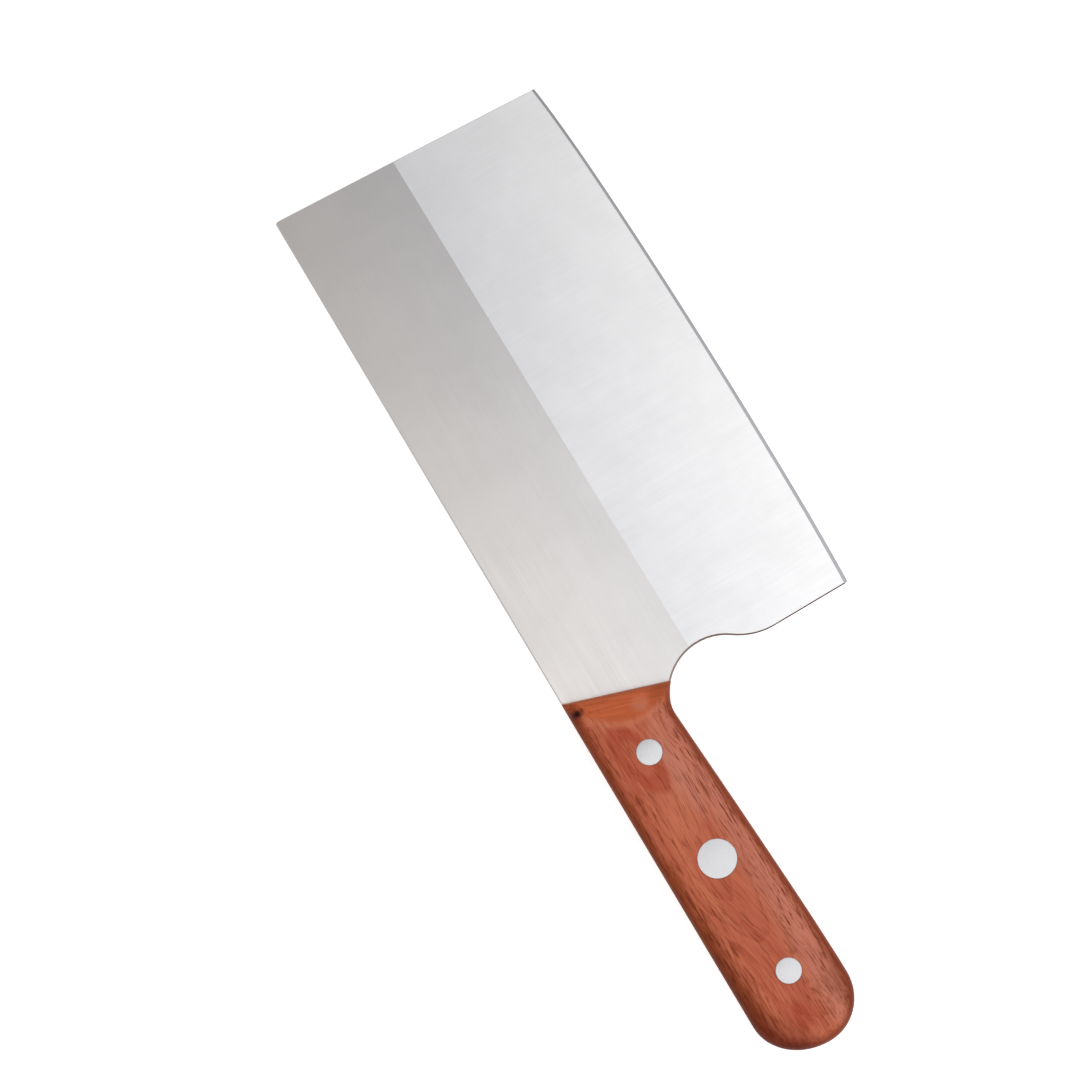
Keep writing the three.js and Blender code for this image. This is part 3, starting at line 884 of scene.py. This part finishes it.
# %% Layers of colour
WOOD_GROUND = "B86248"
SOFT = (1.35, 0.6)  # a soft border in radii of its place, from the outside in
FRONT_LEVEL = -scale_high.dot(BACKWARDS) / MM + END_GRAIN_RAG / 2  # the front end at mean noise
LAYERS = [
    # from the bottom up: value, where the layer starts, where it is full, strength, colour
    ("bands", 0.46, 0.68, 0.7, "C06F50"),
    ("bands", 0.48, 0.32, 0.6, "AA533E"),
    ("rings", 0.6, 1.0, 0.35, "A24A35"),
    ("fibres", 0.46, 0.74, 0.6, "9A452F"),
    # painted sheen: the top is painted paler pink towards the belly side
    ("height", 28.0, 21.0, 0.6, "C07C69"),
    ("pale middle", *SOFT, 0.55, "C87658"),
    ("painted belly sheen", *SOFT, 0.6, "C88470"),
    ("eye", 1.58, 1.28, 0.55, "9E3A26"),
    ("eye", 0.95, 0.68, 0.7, WOOD_GROUND),
    ("butt flame", *SOFT, 0.6, "9C3A26"),
    # painted shade: the wood darkens where the round-over turns away from the top
    ("out", 0.985, 0.55, 0.85, "752A06"),
    ("crowd", 0.76, 0.92, 0.6, "702E18"),
    ("belly flecks", 2.5, 7.0, 0.4, "8A3F1C"),
    ("belly flecks", 6.0, 9.0, 0.6, "5A200E"),
    ("front arch", 1.2, 1.1, 0.4, "CA7A5A"),
    ("front arch", 1.11, 1.0, 0.8, "B4552F"),
    # painted highlight: a small pale glint on the slope
    ("painted slope glint", *SOFT, 0.5, "B87A64"),
    ("front end", FRONT_LEVEL - 7, FRONT_LEVEL + 2, 0.75, "D06A44"),
    ("notch shade", *SOFT, 0.45, "8A3F22"),
    # painted shade: the walls are darker where they face sideways
    ("sideways", 0.5, 0.95, 0.6, "752A06"),
    ("side bands", 0.48, 0.68, 0.5, "AA5434"),
    ("side fibres", 1.5, 1.66, 0.6, "4A1A0A"),
    ("side flecks", 1.53, 1.64, 0.55, "4E1C0A"),
    ("spine flecks", 70.0, 75.5, 0.45, "94441C"),
    # partly mottled heartwood, partly painted shade: the spine side is painted darker
    ("spine", 51.5, 56.5, 0.54, "7A3410"),
    ("spine flecks", 75.0, 79.0, 0.5, "4A1A0A"),
    ("dark butt side", *SOFT, 0.6, "5E220E"),
    ("dark butt corner", *SOFT, 0.85, "57180A"),
    ("dark belly corner", *SOFT, 0.5, "6A2A12"),
    ("knot stain", *SOFT, 0.7, "6E2810"),
    ("knot", 1.35, 0.5, 0.95, "24080C")]
# painted shade: a faint dark ring round each rivet
LAYERS += [(name, 1.04, 0.96, 0.1, "6A4040") for name in RIVETS]


def layered(tree, values):
    """The colour of the wood, layer over layer."""
    colour = srgb(WOOD_GROUND)
    for name, start, full, strength, tint in LAYERS:
        mask = add_node(tree, "ShaderNodeMapRange", {
            "Value": values[name], "From Min": start, "From Max": full, "To Max": strength},
            interpolation_type="SMOOTHSTEP").outputs["Result"]
        colour = add_node(tree, "ShaderNodeMix", {0: mask, MIX_A: colour, MIX_B: srgb(tint)},
                          data_type="RGBA").outputs[MIX_RESULT]
    return colour


print(len(LAYERS), "layers of colour")

# %% Bubinga, sanded and oiled
OILED_ROUGHNESS = (0.42, 0.56)  # from open wood to dark fibres
PORE_RELIEF, PORE_DEPTH = 0.2, 0.06 * MM
WOOD_IOR, WOOD_SHINE = 1.5, 0.06  # oil that has sunk into sanded wood leaves next to no shine


def red_hardwood():
    """A flat-sawn red hardwood with rings, an eye, pores, mottled rims and a knot."""
    material, tree = new_material("bubinga_oiled")
    coordinates = add_node(tree, "ShaderNodeTexCoord").outputs
    in_mm = add_node(tree, "ShaderNodeVectorMath", {0: coordinates["Object"], 1: (PER_MM,) * 3},
                     operation="MULTIPLY").outputs[0]
    along = add_node(tree, "ShaderNodeSeparateXYZ", {0: in_mm}).outputs
    values = grain_patterns(tree, in_mm, wandering(tree, in_mm, along))
    values["height"] = along["Y"]
    values |= distances(tree, in_mm, values["mottle"])
    values |= sides(tree, in_mm, values)
    values |= turns(tree, coordinates["Normal"], values)
    values["crowd"] = crowded_pores(tree, values)
    rough = add_node(tree, "ShaderNodeMapRange", {
        "Value": values["fibres"], "From Min": NOISE_SPREAD[0], "From Max": NOISE_SPREAD[1],
        "To Min": OILED_ROUGHNESS[0], "To Max": OILED_ROUGHNESS[1]}).outputs["Result"]
    bump = add_node(tree, "ShaderNodeBump", {
        "Height": values["crowd"], "Strength": PORE_RELIEF, "Distance": PORE_DEPTH},
        invert=True).outputs["Normal"]
    shader = add_node(tree, "ShaderNodeBsdfPrincipled", {
        "Base Color": layered(tree, values), "Roughness": rough, "Normal": bump,
        "IOR": WOOD_IOR, "Specular IOR Level": WOOD_SHINE})
    add_node(tree, "ShaderNodeOutputMaterial", {"Surface": shader.outputs["BSDF"]})
    return material


bubinga = red_hardwood()
for scale in (right_scale, left_scale):
    scale.data.materials.append(bubinga)
print(bubinga.name, "has", len(bubinga.node_tree.nodes), "nodes")

# %% [markdown]
# ## Rivet metal
# The heads are nickel-plated or plain stainless, sanded with the wood. What shows is an even, pale
# satin with faint scratches in every direction. Real grit is finer than a pixel, so it is drawn
# coarser.

# %% Stainless steel, sanded flush
GRIT = 0.5  # in mm
GRIT_RELIEF = 0.1
SANDED_ROUGHNESS = (0.34, 0.46)


def sanded_rivet():
    """Pale satin steel with fine random scratches."""
    material, tree = new_material("stainless_sanded")
    place = add_node(tree, "ShaderNodeTexCoord").outputs["Object"]
    grit = add_node(tree, "ShaderNodeTexNoise", {
        "Vector": place, "Scale": PER_MM / GRIT, "Detail": 3.0, "Roughness": 0.6}).outputs["Fac"]
    tint = add_node(tree, "ShaderNodeMix", {0: grit, MIX_A: srgb("B6B5B8"), MIX_B: srgb("C2C1C3")},
                    data_type="RGBA").outputs[MIX_RESULT]
    rough = add_node(tree, "ShaderNodeMapRange", {
        "Value": grit, "From Min": NOISE_SPREAD[0], "From Max": NOISE_SPREAD[1],
        "To Min": SANDED_ROUGHNESS[0], "To Max": SANDED_ROUGHNESS[1]}).outputs["Result"]
    bump = add_node(tree, "ShaderNodeBump", {
        "Height": grit, "Strength": GRIT_RELIEF, "Distance": LINE_DEPTH}).outputs["Normal"]
    shader = add_node(tree, "ShaderNodeBsdfPrincipled", {
        "Base Color": tint, "Metallic": 1.0, "Roughness": rough, "Normal": bump})
    add_node(tree, "ShaderNodeOutputMaterial", {"Surface": shader.outputs["BSDF"]})
    return material


sanded = sanded_rivet()
for piece in rivets.values():
    piece.data.materials.append(sanded)
print(sanded.name, "on", len(rivets), "rivet halves")

# %% [markdown]
# ## Floor, light and camera
# The photograph is a plain picture on white, taken from straight above. A pale matt floor that glows a
# little, as a light table does, an even surround, one softbox over the handle and a smaller one low on
# the belly side give the same soft light almost without a shadow. The blade mirrors what is above it,
# so the edge of the softbox is what shades it from handle to tip.

# %% A pale floor
FLOOR_SIDE = 8.0  # in metres
FLOOR_DROP = 0.1 * MM  # the lowest face of the handle would flicker if it lay in the floor
FLOOR_GLOW = 0.6
FLOOR_MOTTLE = 250.0  # in mm


def pale_floor():
    """Matt white light table with the faintest mottle."""
    material, tree = new_material("matt_white_light_table")
    place = add_node(tree, "ShaderNodeTexCoord").outputs["Object"]
    mottle = add_node(tree, "ShaderNodeTexNoise", {
        "Vector": place, "Scale": PER_MM / FLOOR_MOTTLE, "Detail": 2.0}).outputs["Fac"]
    tint = add_node(tree, "ShaderNodeMix", {0: mottle, MIX_A: srgb("F1F1F1"), MIX_B: srgb("F4F4F4")},
                    data_type="RGBA").outputs[MIX_RESULT]
    shader = add_node(tree, "ShaderNodeBsdfPrincipled", {
        "Base Color": tint, "Roughness": 0.9, "Specular IOR Level": 0.2,
        "Emission Color": tint, "Emission Strength": FLOOR_GLOW})
    add_node(tree, "ShaderNodeOutputMaterial", {"Surface": shader.outputs["BSDF"]})
    return material


bpy.ops.object.select_all(action="DESELECT")
bpy.ops.mesh.primitive_plane_add(size=FLOOR_SIDE, location=(0, 0, cad_low.z - FLOOR_DROP))
floor = bpy.context.object
floor.name = "floor"
floor.data.materials.append(pale_floor())
print("floor of", FLOOR_SIDE, "m")

# %% Surround and softboxes
SURROUND = 0.55
SOFTBOXES = [
    # name, place, aim, width and length in metres, radiance
    ("over_handle", Vector((-0.37, -0.10, 0.75)), Vector((-0.37, -0.10, 0)), 0.9, 1.2, 1.15),
    ("belly_strip", Vector((-0.05, -0.90, 0.36)), Vector((-0.05, 0.03, 0)), 1.2, 0.4, 1.6),
]

world = bpy.data.worlds.new("pale surround")
bpy.context.scene.world = world
world.use_nodes = True
world.node_tree.nodes.clear()
surround = add_node(world.node_tree, "ShaderNodeBackground", {
    "Color": srgb("FFFFFF"), "Strength": SURROUND})
add_node(world.node_tree, "ShaderNodeOutputWorld", {"Surface": surround.outputs["Background"]})

for name, place, aim, width, length, radiance in SOFTBOXES:
    bpy.ops.object.select_all(action="DESELECT")
    turn = (aim - place).to_track_quat("-Z", "Y").to_euler()
    bpy.ops.object.light_add(type="AREA", location=place, rotation=turn)
    softbox = bpy.context.object
    softbox.name = name
    softbox.data.shape = "RECTANGLE"
    softbox.data.size = width
    softbox.data.size_y = length
    softbox.data.energy = radiance * math.pi * width * length
    print(name, "of", round(softbox.data.energy, 2), "W")
bpy.context.scene.view_settings.view_transform = "Standard"

# %% The camera
LENS = 200.0
SENSOR = 36.0
PICTURE_WIDTH = 328.8 * MM  # what the picture spans at the face of the blade
PICTURE_CENTRE = (25.9 * MM, 27.28 * MM)
PICTURE_TURN = math.radians(-120.755)  # from the picture's right to the direction of the tip
distance = PICTURE_WIDTH * LENS / SENSOR

bpy.ops.object.select_all(action="DESELECT")
bpy.ops.object.camera_add(location=(*PICTURE_CENTRE, blade_high.z + distance),
                          rotation=(0, 0, PICTURE_TURN))
camera = bpy.context.object
camera.data.lens = LENS
camera.data.sensor_width = SENSOR
bpy.context.scene.camera = camera
print("camera", round(distance, 3), "m above the blade")
